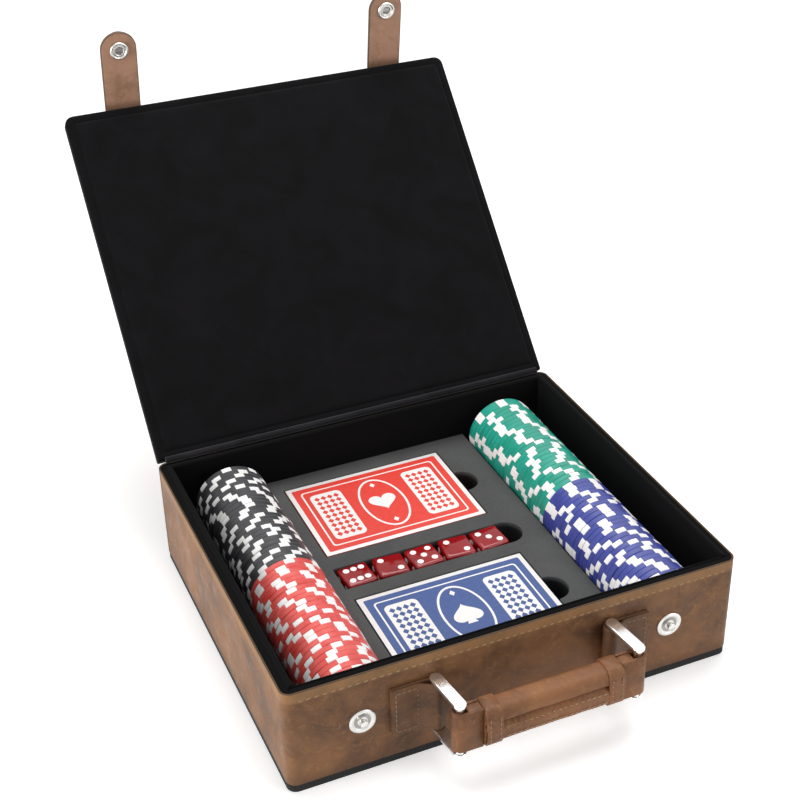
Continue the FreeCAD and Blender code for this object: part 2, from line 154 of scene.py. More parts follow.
def distressed_leather(name, dark, middle, light, edge_light=0.0):
    """Waxed pull-up leather: mottled brown, paler where it is rubbed, with a fine pebbled grain."""
    material, tree, shader, place = finish(name, Roughness=0.5, Specular_IOR_Level=0.3)
    clouds = add(tree, "ShaderNodeTexNoise",
                 {"Vector": place, "Scale": per_metre(38), "Detail": 4.0, "Roughness": 0.62, "Distortion": 0.6})
    blotches = add(tree, "ShaderNodeTexNoise",
                   {"Vector": place, "Scale": per_metre(11), "Detail": 5.0, "Roughness": 0.65})
    scuffs = add(tree, "ShaderNodeTexNoise",
                 {"Vector": place, "Scale": per_metre(4.5), "Detail": 6.0, "Roughness": 0.72, "Distortion": 1.2})
    cloud_share = add(tree, "ShaderNodeMapRange",
                      {"Value": clouds.outputs[0], "From Min": 0.36, "From Max": 0.64})
    blotch_share = add(tree, "ShaderNodeMapRange",
                       {"Value": blotches.outputs[0], "From Min": 0.42, "From Max": 0.75, "To Max": 0.8})
    scuff_share = add(tree, "ShaderNodeMapRange",
                      {"Value": scuffs.outputs[0], "From Min": 0.52, "From Max": 0.78, "To Max": 0.42})
    ground = add(tree, "ShaderNodeMix", {0: cloud_share.outputs[0], 6: linear(dark), 7: linear(middle)},
                 data_type="RGBA")
    mottled = add(tree, "ShaderNodeMix", {0: blotch_share.outputs[0], 6: ground.outputs[2], 7: linear(middle)},
                  data_type="RGBA")
    rubbed = add(tree, "ShaderNodeMix", {0: scuff_share.outputs[0], 6: mottled.outputs[2], 7: linear(light)},
                 data_type="RGBA")
    colour = rubbed.outputs[2]
    if edge_light:
        height = add(tree, "ShaderNodeSeparateXYZ", {0: place}).outputs["Z"]
        # Paler in a band from about 6 mm under the rim upwards
        near_rim = add(tree, "ShaderNodeMapRange",
                       {"Value": height, "From Min": rim_height - 6.4 * MM, "From Max": rim_height - 4.5 * MM,
                        "To Max": edge_light})
        near_foot = add(tree, "ShaderNodeMapRange",
                        {"Value": height, "From Min": 9.5 * MM, "From Max": 4 * MM, "To Max": 0.5})
        paler_tone = add(tree, "ShaderNodeMix", {0: near_rim.outputs[0], 6: colour, 7: linear(light)}, data_type="RGBA")
        footed = add(tree, "ShaderNodeMix", {0: near_foot.outputs[0], 6: paler_tone.outputs[2], 7: linear(dark)},
                     data_type="RGBA")
        # The cut edge along the rim is darkened: partly the leather's edge paint, partly painted shade on the
        # rim's top edge
        edge_paint_and_shade = add(tree, "ShaderNodeMapRange",
                      {"Value": height, "From Min": rim_height - 0.5 * MM, "From Max": rim_height - 0.15 * MM,
                       "To Max": 0.75})
        edge_paint_and_shade_colour = add(tree, "ShaderNodeMix", {0: edge_paint_and_shade.outputs[0], 6: footed.outputs[2], 7: linear("18110d")},
                      data_type="RGBA")
        colour = edge_paint_and_shade_colour.outputs[2]
    tree.links.new(colour, shader.inputs["Base Color"])
    sheen_spread = add(tree, "ShaderNodeMapRange",
                       {"Value": blotches.outputs[0], "From Min": 0.3, "From Max": 0.7, "To Min": 0.42,
                        "To Max": 0.64})
    tree.links.new(sheen_spread.outputs[0], shader.inputs["Roughness"])
    # Grain cells of about 0.9 mm, with soft creases of a few millimetres under them
    pebbles = add(tree, "ShaderNodeTexVoronoi", {"Vector": place, "Scale": per_metre(0.9)})
    creases = add(tree, "ShaderNodeBump",
                  {"Height": scuffs.outputs[0], "Strength": 0.35, "Distance": 0.0006})
    grain = add(tree, "ShaderNodeBump", {"Height": pebbles.outputs["Distance"], "Strength": 0.3,
                                         "Distance": 0.00012, "Normal": creases.outputs[0]})
    tree.links.new(grain.outputs[0], shader.inputs["Normal"])
    return material


def velvet(name, dark, lit, sheen_patch, bloom):
    """Flocked cloth: near black, with painted sheen as grey patches where the short pile leans over."""
    material, tree, shader, place = finish(name, Roughness=0.95, Specular_IOR_Level=0.12, Sheen_Weight=bloom,
                                           Sheen_Roughness=0.4, Sheen_Tint=linear("9a9aa0"))
    leaning = add(tree, "ShaderNodeTexNoise",
                  {"Vector": place, "Scale": per_metre(26), "Detail": 5.0, "Roughness": 0.6, "Distortion": 0.8})
    # Painted sheen: where the pile leans, the base colour goes from dark towards lit
    share = add(tree, "ShaderNodeMapRange",
                {"Value": leaning.outputs[0], "From Min": 0.35, "From Max": 0.7, "To Max": sheen_patch})
    colour = add(tree, "ShaderNodeMix", {0: share.outputs[0], 6: linear(dark), 7: linear(lit)}, data_type="RGBA")
    tree.links.new(colour.outputs[2], shader.inputs["Base Color"])
    # Pile tufts of about 0.5 mm
    pile = add(tree, "ShaderNodeTexNoise", {"Vector": place, "Scale": per_metre(0.5), "Detail": 2.0})
    soft = add(tree, "ShaderNodeBump", {"Height": leaning.outputs[0], "Strength": 0.25, "Distance": 0.0012})
    tufts = add(tree, "ShaderNodeBump", {"Height": pile.outputs[0], "Strength": 0.35, "Distance": 0.0002,
                                         "Normal": soft.outputs[0]})
    tree.links.new(tufts.outputs[0], shader.inputs["Normal"])
    return material


def closed_cell_foam(name, base, speck, top=None):
    """Cut EVA foam: dull grey with pinholes; with a top height given, the cut sides below it are darkened as
    painted shade, for the shadow deep in the pockets.
    """
    material, tree, shader, place = finish(name, Roughness=0.92, Specular_IOR_Level=0.25)
    cells = add(tree, "ShaderNodeTexNoise",
                {"Vector": place, "Scale": per_metre(0.8), "Detail": 3.0, "Roughness": 0.7})
    drift = add(tree, "ShaderNodeTexNoise", {"Vector": place, "Scale": per_metre(30), "Detail": 3.0})
    both = add(tree, "ShaderNodeMath", {0: cells.outputs[0], 1: drift.outputs[0]}, operation="ADD")
    share = add(tree, "ShaderNodeMapRange", {"Value": both.outputs[0], "From Min": 0.7, "From Max": 1.35})
    colour = add(tree, "ShaderNodeMix", {0: share.outputs[0], 6: linear(base), 7: linear(speck)},
                 data_type="RGBA")
    if top:
        # Painted shade: below the top, the cut sides go towards near black, as little light reaches into the
        # pockets
        height = add(tree, "ShaderNodeSeparateXYZ", {0: place}).outputs["Z"]
        depth = add(tree, "ShaderNodeMapRange",
                    {"Value": height, "From Min": top - 0.6 * MM, "From Max": top - 3 * MM, "To Max": 0.9})
        colour = add(tree, "ShaderNodeMix", {0: depth.outputs[0], 6: colour.outputs[2], 7: linear("101011")},
                     data_type="RGBA")
    tree.links.new(colour.outputs[2], shader.inputs["Base Color"])
    pores = add(tree, "ShaderNodeBump", {"Height": cells.outputs[0], "Strength": 0.4, "Distance": 0.0002})
    tree.links.new(pores.outputs[0], shader.inputs["Normal"])
    return material


def moulded_chip(name, base, paler_tone):
    """Chip composite, moulded with a dull finish that handling has polished in places."""
    material, tree, shader, place = finish(name, Roughness=0.42, Specular_IOR_Level=0.6, Coat_Weight=0.25,
                                           Coat_Roughness=0.45)
    handling = add(tree, "ShaderNodeTexNoise",
                   {"Vector": place, "Scale": per_metre(9), "Detail": 4.0, "Roughness": 0.6})
    share = add(tree, "ShaderNodeMapRange",
                {"Value": handling.outputs[0], "From Min": 0.35, "From Max": 0.7, "To Max": 0.7})
    colour = add(tree, "ShaderNodeMix", {0: share.outputs[0], 6: linear(base), 7: linear(paler_tone)},
                 data_type="RGBA")
    tree.links.new(colour.outputs[2], shader.inputs["Base Color"])
    gloss = add(tree, "ShaderNodeMapRange",
                {"Value": handling.outputs[0], "From Min": 0.3, "From Max": 0.7, "To Min": 0.36, "To Max": 0.52})
    tree.links.new(gloss.outputs[0], shader.inputs["Roughness"])
    texture = add(tree, "ShaderNodeTexNoise", {"Vector": place, "Scale": per_metre(0.4), "Detail": 2.0})
    bump = add(tree, "ShaderNodeBump", {"Height": texture.outputs[0], "Strength": 0.15, "Distance": 0.0001})
    tree.links.new(bump.outputs[0], shader.inputs["Normal"])
    return material


def varnished_print(name, ink, shade):
    """Printed, varnished card: even ink with a faint board fibre under a thin clear gloss."""
    material, tree, shader, place = finish(name, Roughness=0.42, Specular_IOR_Level=0.45, Coat_Weight=0.25,
                                           Coat_Roughness=0.2)
    fibre = add(tree, "ShaderNodeTexNoise",
                {"Vector": place, "Scale": per_metre(2.2), "Detail": 4.0, "Roughness": 0.6})
    share = add(tree, "ShaderNodeMapRange",
                {"Value": fibre.outputs[0], "From Min": 0.4, "From Max": 0.75, "To Max": 0.6})
    colour = add(tree, "ShaderNodeMix", {0: share.outputs[0], 6: linear(ink), 7: linear(shade)},
                 data_type="RGBA")
    tree.links.new(colour.outputs[2], shader.inputs["Base Color"])
    bump = add(tree, "ShaderNodeBump", {"Height": fibre.outputs[0], "Strength": 0.08, "Distance": 0.0002})
    tree.links.new(bump.outputs[0], shader.inputs["Normal"])
    return material


def clear_red_acrylic(name, base, deep):
    """Cast translucent acrylic: deep red, polished, a little light let through."""
    material, tree, shader, place = finish(name, Roughness=0.08, IOR=1.49, Transmission_Weight=0.25,
                                           Specular_IOR_Level=0.5)
    cloud = add(tree, "ShaderNodeTexNoise", {"Vector": place, "Scale": per_metre(12), "Detail": 2.0})
    colour = add(tree, "ShaderNodeMix", {0: cloud.outputs[0], 6: linear(base), 7: linear(deep)},
                 data_type="RGBA")
    tree.links.new(colour.outputs[2], shader.inputs["Base Color"])
    return material


def plated_metal(name, colour, roughness, brushed=0.06):
    """Polished plating: a bright mirror with hairline scratches that soften it a little."""
    material, tree, shader, place = finish(name, Metallic=1.0, Base_Color=linear(colour))
    hairs = add(tree, "ShaderNodeTexNoise",
                {"Vector": place, "Scale": per_metre(1.6), "Detail": 6.0, "Roughness": 0.75, "Distortion": 2.0})
    spread = add(tree, "ShaderNodeMapRange",
                 {"Value": hairs.outputs[0], "From Min": 0.3, "From Max": 0.8, "To Min": roughness,
                  "To Max": roughness + brushed * 2})
    tree.links.new(spread.outputs[0], shader.inputs["Roughness"])
    bump = add(tree, "ShaderNodeBump", {"Height": hairs.outputs[0], "Strength": brushed, "Distance": 0.0001})
    tree.links.new(bump.outputs[0], shader.inputs["Normal"])
    return material


def waxed_thread(name, base, light):
    """Twisted sewing thread, drawn with a coarser twist than the real 0.3 mm so that it shows."""
    material, tree, shader, place = finish(name, Roughness=0.75, Sheen_Weight=0.2)
    twist = add(tree, "ShaderNodeTexWave", {"Vector": place, "Scale": per_metre(1.6), "Distortion": 1.5},
                bands_direction="DIAGONAL")
    colour = add(tree, "ShaderNodeMix", {0: twist.outputs[1], 6: linear(base), 7: linear(light)},
                 data_type="RGBA")
    tree.links.new(colour.outputs[2], shader.inputs["Base Color"])
    return material


def fibre_board(name, base, fleck):
    """Grey card board, pressed from pulp with visible flecks."""
    material, tree, shader, place = finish(name, Roughness=0.9)
    flecks = add(tree, "ShaderNodeTexNoise", {"Vector": place, "Scale": per_metre(1.5), "Detail": 6.0})
    colour = add(tree, "ShaderNodeMix", {0: flecks.outputs[0], 6: linear(base), 7: linear(fleck)},
                 data_type="RGBA")
    tree.links.new(colour.outputs[2], shader.inputs["Base Color"])
    return material


def coarse_cloth(name, base, light):
    """Bookbinder's cloth under the case, woven at about one thread to the millimetre."""
    material, tree, shader, place = finish(name, Roughness=0.88)
    warp = add(tree, "ShaderNodeTexWave", {"Vector": place, "Scale": per_metre(6.3)}, bands_direction="X")
    weft = add(tree, "ShaderNodeTexWave", {"Vector": place, "Scale": per_metre(6.3)}, bands_direction="Y")
    weave = add(tree, "ShaderNodeMath", {0: warp.outputs[1], 1: weft.outputs[1]}, operation="MULTIPLY")
    colour = add(tree, "ShaderNodeMix", {0: weave.outputs[0], 6: linear(base), 7: linear(light)},
                 data_type="RGBA")
    tree.links.new(colour.outputs[2], shader.inputs["Base Color"])
    bump = add(tree, "ShaderNodeBump", {"Height": weave.outputs[0], "Strength": 0.4, "Distance": 0.0002})
    tree.links.new(bump.outputs[0], shader.inputs["Normal"])
    return material


tray_leather = distressed_leather("tray_leather", "4d321f", "855c3b", "b38a58", edge_light=0.3)
lid_leather = distressed_leather("lid_leather", "4d321f", "855c3b", "b38a58")
tab_leather = distressed_leather("tab_leather", "462f1e", "6e4b30", "97734a")
# Near-black leather for the grip's seam groove: painted shade in the groove
seam_shade_leather = distressed_leather("seam_shade_leather", "20150d", "302014", "4a3422")
# The back cover's leather is darker than the tray's: painted shade on the band round the back corner
spine_leather_shaded = distressed_leather("spine_leather_shaded", "3d281a", "583c29", "7c5d40", edge_light=0.1)
flap_leather = distressed_leather("flap_leather", "8c6951", "b0876f", "c9a487")
strap_leather = distressed_leather("strap_leather", "5a3822", "8b5d3b", "b58756")
flap_edge = distressed_leather("flap_edge", "4c3a2e", "665041", "7d6553")
# One black velvet in three brightnesses: darkest in the tray, as painted shade on the lining's inner walls;
# lighter in the lid; lightest on the hinge roll, as a painted highlight along the fold
black_velvet = velvet("black_velvet", "020202", "070708", 0.4, 0.07)
lid_velvet = velvet("lid_velvet", "060506", "0f0d10", 0.7, 0.17)
hinge_velvet_highlight = velvet("hinge_velvet_highlight", "131214", "2b292c", 0.6, 0.5)
grey_foam = closed_cell_foam("grey_foam", "464746", "575857", top=box_of("foam_insert")[1].z)
black_foam = closed_cell_foam("black_foam", "0c0c0d", "161617")
chip_black = moulded_chip("chip_black", "2a2a2d", "3a393d")
chip_red = moulded_chip("chip_red", "d23b36", "ea6d64")
chip_green = moulded_chip("chip_green", "008b75", "00a38d")
chip_blue = moulded_chip("chip_blue", "2b3689", "3d4998")
chip_white = moulded_chip("chip_white", "f1efec", "ffffff")
print_red = varnished_print("print_red", "e0382b", "e85040")
print_blue = varnished_print("print_blue", "2d4a88", "3c5a98")
print_white = varnished_print("print_white", "f4f1ee", "ebe8e6")
card_stock = varnished_print("card_stock", "f1eee8", "e4e1da")
dice_red = clear_red_acrylic("dice_red", "bd141b", "8e0c12")
pip_white = moulded_chip("pip_white", "f7f5f2", "ffffff")
ring_chrome = plated_metal("ring_chrome", "f4f4f4", 0.14)
snap_nickel = plated_metal("snap_nickel", "d4d2ce", 0.22)
# A darker copy of the nickel: painted shade in the snaps' hollows
snap_nickel_shaded = plated_metal("snap_nickel_shaded", "9a9896", 0.35)
tan_thread = waxed_thread("tan_thread", "987a58", "b89a74")
brown_thread = waxed_thread("brown_thread", "7c5f44", "9c7d5c")
grey_board = fibre_board("grey_board", "8a857d", "6f6a62")
base_cloth_and_shadow = coarse_cloth("base_cloth_and_shadow", "0a0a0a", "1b1b1b")


# Mesh helpers


def piece(bm, name, materials, body, replaced=(), sharp=40):
    """Makes a bmesh an object that rides on a body, or none when it bends, and stands for its CAD nodes."""
    bmesh.ops.recalc_face_normals(bm, faces=bm.faces)
    mesh = bpy.data.meshes.new(name)
    bm.to_mesh(mesh)
    bm.free()
    mesh.shade_smooth()
    mesh.set_sharp_from_angle(angle=math.radians(sharp))
    made = bpy.data.objects.new(name, mesh)
    bpy.context.scene.collection.objects.link(made)
    for material in materials:
        mesh.materials.append(material)
    if body:
        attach(made, body)
    if replaced:
        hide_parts(*replaced)
    return made


def cover(node, material):
    """Gives a CAD node its finish."""
    shown = frame["nodes"][node]
    shown.data.materials.clear()
    shown.data.materials.append(material)


def softened(node, radius, segments=3):
    """A copy of a CAD node, its triangles merged and its sharp edges rounded."""
    bm = bmesh.new()
    bm.from_mesh(frame["nodes"][node].data)
    bmesh.ops.remove_doubles(bm, verts=bm.verts, dist=1e-6)
    bmesh.ops.dissolve_limit(bm, angle_limit=math.radians(1), verts=bm.verts, edges=bm.edges)
    sharp = [edge for edge in bm.edges if len(edge.link_faces) == 2 and edge.calc_face_angle() > math.radians(35)]
    bmesh.ops.bevel(bm, geom=sharp, offset=radius, affect="EDGES", segments=segments, profile=0.5, material=-1)
    return bm


def rounded_outline(low, high, radius, z, steps=8, back_radius=None):
    """Points round a rectangle with rounded corners; the two at the back may have a radius of their own."""
    points = []
    front_radius = radius
    for quarter, (sign_x, sign_y) in enumerate(((1, 1), (-1, 1), (-1, -1), (1, -1))):
        radius = back_radius if back_radius and sign_y > 0 else front_radius
        centre_x = (high.x if sign_x > 0 else low.x) - sign_x * radius
        centre_y = (high.y if sign_y > 0 else low.y) - sign_y * radius
        for step in range(steps + 1):
            angle = math.pi / 2 * (quarter + step / steps)
            points.append(Vector((centre_x + radius * math.cos(angle), centre_y + radius * math.sin(angle), z)))
    return points


def loft(bm, loops, closed=False):
    """Joins each loop of points to the next, point by point; the ends are capped, or joined when closed."""
    rings = [[bm.verts.new(point) for point in points] for points in loops]
    pairs = list(zip(rings, rings[1:]))
    if closed:
        pairs.append((rings[-1], rings[0]))
    for low, high in pairs:
        for index in range(len(low)):
            after = (index + 1) % len(low)
            bm.faces.new((low[index], low[after], high[after], high[index]))
    if not closed:
        bm.faces.new(rings[0][::-1])
        bm.faces.new(rings[-1])


def slab(bm, points, rise, material=0):
    """A flat outline raised into a thin solid."""
    before = set(bm.faces)
    loft(bm, [points, [point + Vector((0, 0, rise)) for point in points]])
    for face in set(bm.faces) - before:
        face.material_index = material


def spun(bm, profile, matrix, steps=40, material=0):
    """A turned part: a profile of (radius, height) spun about the height axis, then placed."""
    before = set(bm.verts)
    verts = [bm.verts.new((radius, 0, height)) for radius, height in profile]
    edges = [bm.edges.new(pair) for pair in zip(verts, verts[1:])]
    faces_before = set(bm.faces)
    bmesh.ops.spin(bm, geom=verts + edges, cent=(0, 0, 0), axis=(0, 0, 1), angle=2 * math.pi, steps=steps,
                   use_merge=True)
    new = [vert for vert in bm.verts if vert not in before]
    bmesh.ops.remove_doubles(bm, verts=new, dist=1e-7)
    new = [vert for vert in bm.verts if vert not in before]
    for face in set(bm.faces) - faces_before:
        face.material_index = material
    bmesh.ops.transform(bm, matrix=matrix, verts=new)
    return new


def block_into(bm, low, high, round_edge=0.0, matrix=None, material=0, segments=2):
    """A box between two corners with its edges rounded, placed by a matrix."""
    middle = (Vector(low) + Vector(high)) / 2
    size = Vector(high) - Vector(low)
    scale = Matrix.Translation(middle) @ Matrix.Diagonal((*size, 1))
    faces_before = set(bm.faces)
    made = bmesh.ops.create_cube(bm, size=1, matrix=scale)
    verts = made["verts"]
    if round_edge:
        edges = list({edge for vert in verts for edge in vert.link_edges})
        bmesh.ops.bevel(bm, geom=edges, offset=round_edge, affect="EDGES", segments=segments, profile=0.5,
                        material=-1)
        verts = list({vert for face in set(bm.faces) - faces_before for vert in face.verts})
    if matrix:
        bmesh.ops.transform(bm, matrix=matrix, verts=verts)
    for face in set(bm.faces) - faces_before:
        face.material_index = material


def strip_outline(path, thickness):
    """The outline, seen from above, of a strap of even thickness that follows a path."""
    left, right = [], []
    for index, point in enumerate(path):
        ahead = path[min(index + 1, len(path) - 1)]
        behind = path[max(index - 1, 0)]
        along = (ahead - behind).normalized()
        across = Vector((-along.y, along.x, 0)) * thickness / 2
        left.append(point + across)
        right.append(point - across)
    return left + right[::-1]


def upright_strap(bm, path, thickness, low, high, round_edge):
    """A leather strap standing on edge: it follows a path in plan, from height low to high."""
    outline = strip_outline([Vector((point.x, point.y, low)) for point in path], thickness)
    before = set(bm.faces)
    base = bm.faces.new([bm.verts.new(point) for point in outline])
    lifted = bmesh.ops.extrude_face_region(bm, geom=[base])
    top = [item for item in lifted["geom"] if isinstance(item, bmesh.types.BMVert)]
    bmesh.ops.translate(bm, verts=top, vec=(0, 0, high - low))
    new = set(bm.faces) - before
    rims = {edge for face in new for edge in face.edges if len(edge.link_faces) == 2
            and edge.calc_face_angle() > math.radians(50)}
    bmesh.ops.bevel(bm, geom=list(rims), offset=round_edge, affect="EDGES", segments=2, profile=0.5, material=-1)


def stitch_run(bm, start, end, out, pitch=stitch_pitch, matrix=None):
    """A row of stitches from one point to another, each a small bead of thread lying on the leather."""
    along = (end - start).normalized()
    across = out.cross(along)
    count = max(1, round((end - start).length / pitch))
    for index in range(count):
        middle = start.lerp(end, (index + 0.5) / count)
        turn = Matrix((along, across, out)).transposed().to_4x4()
        lean = Matrix.Rotation(math.radians(7), 4, "Z")
        size = Matrix.Diagonal((stitch_length / 2, stitch_width / 2, stitch_height / 2, 1))
        place = Matrix.Translation(middle) @ turn @ lean @ size
        if matrix:
            place = matrix @ place
        bmesh.ops.create_uvsphere(bm, u_segments=6, v_segments=5, radius=1, matrix=place)


# Tray


def dress_tray():
    """Leather outside, black lining inside, cloth under the base."""
    for node, leather in (("tray_cover", tray_leather), ("back_cover", spine_leather_shaded)):
        bm = softened(node, 0.4 * MM)
        piece(bm, node + "_leather", [leather], "tray", [node])
    for side in ("front", "back", "left", "right"):
        cover("lining_" + side, black_velvet)
        cover("wall_board_" + side, grey_board)
        if side in ("left", "right"):
            cover("chip_rail_" + side, black_foam)
    cover("floor_lining", black_velvet)
    # The hinge roll takes the lighter velvet: a painted highlight along the fold
    cover("hinge_roll", hinge_velvet_highlight)
    # The black base is partly the case's own cloth base and partly painted shadow: its dark band along the foot
    # also stands in for the contact shadow
    cover("base_board", base_cloth_and_shadow)
    cover("foam_base", black_foam)


def front_stitching():
    """The row of stitches under the front rim."""
    low, high = box_of("tray_cover")
    z = high.z - front_stitch_drop
    inset = 6 * MM
    bm = bmesh.new()
    start = Vector((low.x + inset, low.y - 0.02 * MM, z))
    end = Vector((high.x - inset, low.y - 0.02 * MM, z))
    stitch_run(bm, start, end, -Y_AXIS)
    piece(bm, "front_stitches", [tan_thread], "tray")


def dress_foam():
    bm = softened("foam_insert", 0.4 * MM, 2)
    piece(bm, "foam_top", [grey_foam], "tray", ["foam_insert"])


# Lid


def lid_lining_piece():
    """The padded velvet panel in the lid, with a narrow sunk border turned round the lid's edge."""
    low, high = box_of("lid_lining", LID_CLOSED)
    corner, hinge_corner = 5 * MM, 0.8 * MM
    bottom, top = low.z, high.z
    # Distance in from the edge, and height above the panel's face, from the rim inwards
    steps = ((0.0, top - bottom), (0.0, 2.2 * MM), (0.25 * MM, 1.35 * MM), (0.9 * MM, 0.8 * MM),
             (1.8 * MM, 0.65 * MM), (3.6 * MM, 0.7 * MM), (4.3 * MM, 1.0 * MM), (4.7 * MM, 1.0 * MM),
             (5.2 * MM, 0.5 * MM), (6.2 * MM, 0.15 * MM), (8.0 * MM, 0.0))
    loops = []
    for inset, height in steps:
        shift = Vector((inset, inset, 0))
        radius = max(corner - inset, 2.0 * MM)
        loops.append(rounded_outline(low + shift, high - shift, radius, bottom + height, back_radius=hinge_corner))
    bm = bmesh.new()
    loft(bm, loops)
    bmesh.ops.transform(bm, matrix=LID_OPEN, verts=bm.verts)
    made = piece(bm, "lid_velvet_panel", [lid_velvet], "lid", ["lid_lining"])


def lid_leather_piece():
    """The leather on the lid's outer face, stitched round its edge."""
    bm = softened("lid_cover", 0.3 * MM, 2)
    piece(bm, "lid_leather_sheet", [lid_leather], "lid", ["lid_cover"])
    low, high = box_of("lid_cover", LID_CLOSED)
    inset = lid_stitch_inset
    z = high.z + 0.02 * MM
    corners = [Vector((low.x + inset, low.y + inset, z)), Vector((high.x - inset, low.y + inset, z)),
               Vector((high.x - inset, high.y - inset, z)), Vector((low.x + inset, high.y - inset, z))]
    bm = bmesh.new()
    for start, end in zip(corners, corners[1:] + corners[:1]):
        stitch_run(bm, start, end, Z_AXIS, matrix=LID_OPEN)
    piece(bm, "lid_stitches", [tan_thread], "lid")
    cover("lid_board", grey_board)


# Snap straps


def strap_half_width(y, base_y, tip_y, half, corner):
    """Half the strap's width at a place along it: cut corners at the base, a round tip."""
    from_tip = y - tip_y
    from_base = base_y - y
    if from_tip < half:
        return max(math.sqrt(max(half ** 2 - (half - from_tip) ** 2, 0)), 0.3 * MM)
    if from_base < corner:
        return half - corner + math.sqrt(max(corner ** 2 - (corner - from_base) ** 2, 0))
    return half


def strap(side):
    """One leather strap from its sewn base to its round tip, bent over the lid's edge."""
    base_low, base_high = box_of("strap_base_" + side, LID_CLOSED)
    axis = strap_axis(side)
    straight = strap_stand(side).inverted()
    flap_low, flap_high = box_of("strap_flap_" + side, straight)
    half = (base_high.x - base_low.x) / 2
    middle_x = (base_high.x + base_low.x) / 2
    base_y, tip_y = base_high.y, flap_low.y
    bend_from, bend_to = axis.y + 2.4 * MM, axis.y - 2.4 * MM
    rows, columns = 90, 10
    thickness = base_high.z - base_low.z
    bm = bmesh.new()
    bmesh.ops.create_grid(bm, x_segments=columns, y_segments=rows, size=1)
    for vert in bm.verts:
        share = (1 - vert.co.y) / 2
        # Rows crowd together at the tip, where the outline turns fastest
        eased = share if share < 0.8 else 0.8 + 0.2 * math.sin((share - 0.8) / 0.2 * math.pi / 2)
        y = base_y + (tip_y - base_y) * eased
        x = vert.co.x * strap_half_width(y, base_y, tip_y, half, 3 * MM)
        vert.co = Vector((middle_x + x, y, base_low.z))
    bmesh.ops.recalc_face_normals(bm, faces=bm.faces)
    lifted = bmesh.ops.extrude_face_region(bm, geom=bm.faces[:])
    raised = [item for item in lifted["geom"] if isinstance(item, bmesh.types.BMVert)]
    bmesh.ops.translate(bm, verts=raised, vec=(0, 0, thickness))
    rims = [edge for edge in bm.edges if len(edge.link_faces) == 2 and edge.calc_face_angle() > math.radians(60)]
    bmesh.ops.bevel(bm, geom=rims, offset=0.5 * MM, affect="EDGES", segments=3, profile=0.5, material=-1)
    bm.normal_update()
    for face in bm.faces:
        face.material_index = 1 if abs(face.normal.z) < 0.97 else 0
    radius = (bend_from - bend_to) / strap_bend
    centre_z = axis.z - radius
    for vert in bm.verts:
        past = bend_from - vert.co.y
        if past <= 0:
            continue
        angle = min(past / radius, strap_bend)
        spare = max(past - radius * strap_bend, 0)
        out = radius + (vert.co.z - axis.z)
        vert.co.y = bend_from - out * math.sin(angle) - spare * math.cos(angle)
        vert.co.z = centre_z + out * math.cos(angle) - spare * math.sin(angle)
    bmesh.ops.transform(bm, matrix=LID_OPEN, verts=bm.verts)
    made = piece(bm, "strap_leather_" + side, [flap_leather, flap_edge], None,
                 ["strap_base_" + side, "strap_flap_" + side], sharp=50)
    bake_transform(made)
    strap_base_stitching(side, base_low, base_high)


def strap_base_stitching(side, low, high):
    """Stitches round the part of the strap that is sewn to the lid."""
    inset = 2.2 * MM
    z = high.z + 0.02 * MM
    far, near = high.y - inset, low.y + 4 * MM
    left, right = low.x + inset, high.x - inset
    corners = [Vector((left, near, z)), Vector((left, far, z)), Vector((right, far, z)), Vector((right, near, z))]
    bm = bmesh.new()
    for start, end in zip(corners, corners[1:]):
        stitch_run(bm, start, end, Z_AXIS, fine_stitch_pitch, LID_OPEN)
    piece(bm, "strap_base_stitches_" + side, [tan_thread], "lid")


def socket_radius(side, centre, face):
    """How far the snap's socket reaches from its centre, on the side that faces the stud."""
    to_straight = strap_stand(side).inverted()
    reaches = [0.0]
    for vertex in frame["nodes"]["strap_snap_" + side].data.vertices:
        point = to_straight @ vertex.co
        if point.z < face + 0.5 * MM:
            reaches.append(math.hypot(point.x - centre.x, point.y - centre.y))
    return max(reaches)


def strap_snap(side):
    """The snap through the strap: a domed cap outside, a ringed spring socket inside."""
    straight = strap_stand(side)
    low, high = box_of("strap_snap_" + side, straight.inverted())
    flap_low, flap_high = box_of("strap_flap_" + side, straight.inverted())
    centre = Vector(((low.x + high.x) / 2, (low.y + high.y) / 2, 0))
    bm = bmesh.new()
    cap_radius = (high.x - low.x) / 2
    top, seat = high.z, flap_high.z
    cap = [(0, top), (cap_radius * 0.45, top - 0.05 * MM), (cap_radius * 0.8, top - 0.3 * MM),
           (cap_radius * 0.96, top - 0.75 * MM), (cap_radius, top - 1.2 * MM), (cap_radius * 0.97, seat),
           (3.1 * MM, seat), (3.1 * MM, flap_low.z), (0, flap_low.z)]
    spun(bm, cap, straight @ Matrix.Translation(centre))
    face, back = low.z, flap_low.z
    reach = socket_radius(side, centre, face)
    socket = [(2.3 * MM, back), (2.3 * MM, face + 0.5 * MM), (2.6 * MM, face + 0.3 * MM),
              (2.9 * MM, face + 0.35 * MM), (3.1 * MM, face + 0.75 * MM), (3.4 * MM, face + 0.8 * MM),
              (3.7 * MM, face + 0.3 * MM), (4.1 * MM, face + 0.02 * MM), (reach - 0.6 * MM, face + 0.02 * MM),
              (reach - 0.15 * MM, face + 0.35 * MM), (reach, face + 0.9 * MM), (reach - 0.1 * MM, back),
              (2.3 * MM, back)]
    spun(bm, socket, straight @ Matrix.Translation(centre))
    # Two spring wires lie across the socket's hole, in the darker nickel: painted shade inside the hole
    for offset in (-1.5 * MM, 1.5 * MM):
        wire_low = centre + Vector((-2.6 * MM, offset - 0.3 * MM, face + 0.62 * MM))
        wire_high = centre + Vector((2.6 * MM, offset + 0.3 * MM, face + 1.1 * MM))
        block_into(bm, wire_low, wire_high, 0.2 * MM, straight, material=1)
    # The floor of the hole, in the darker nickel: painted shade at the hole's bottom
    spun(bm, [(0, back - 0.15 * MM), (2.35 * MM, back - 0.15 * MM), (2.35 * MM, back), (0, back)],
         straight @ Matrix.Translation(centre), material=1)
    piece(bm, "strap_snap_plated_" + side, [snap_nickel, snap_nickel_shaded], "strap_" + side,
          ["strap_snap_" + side])


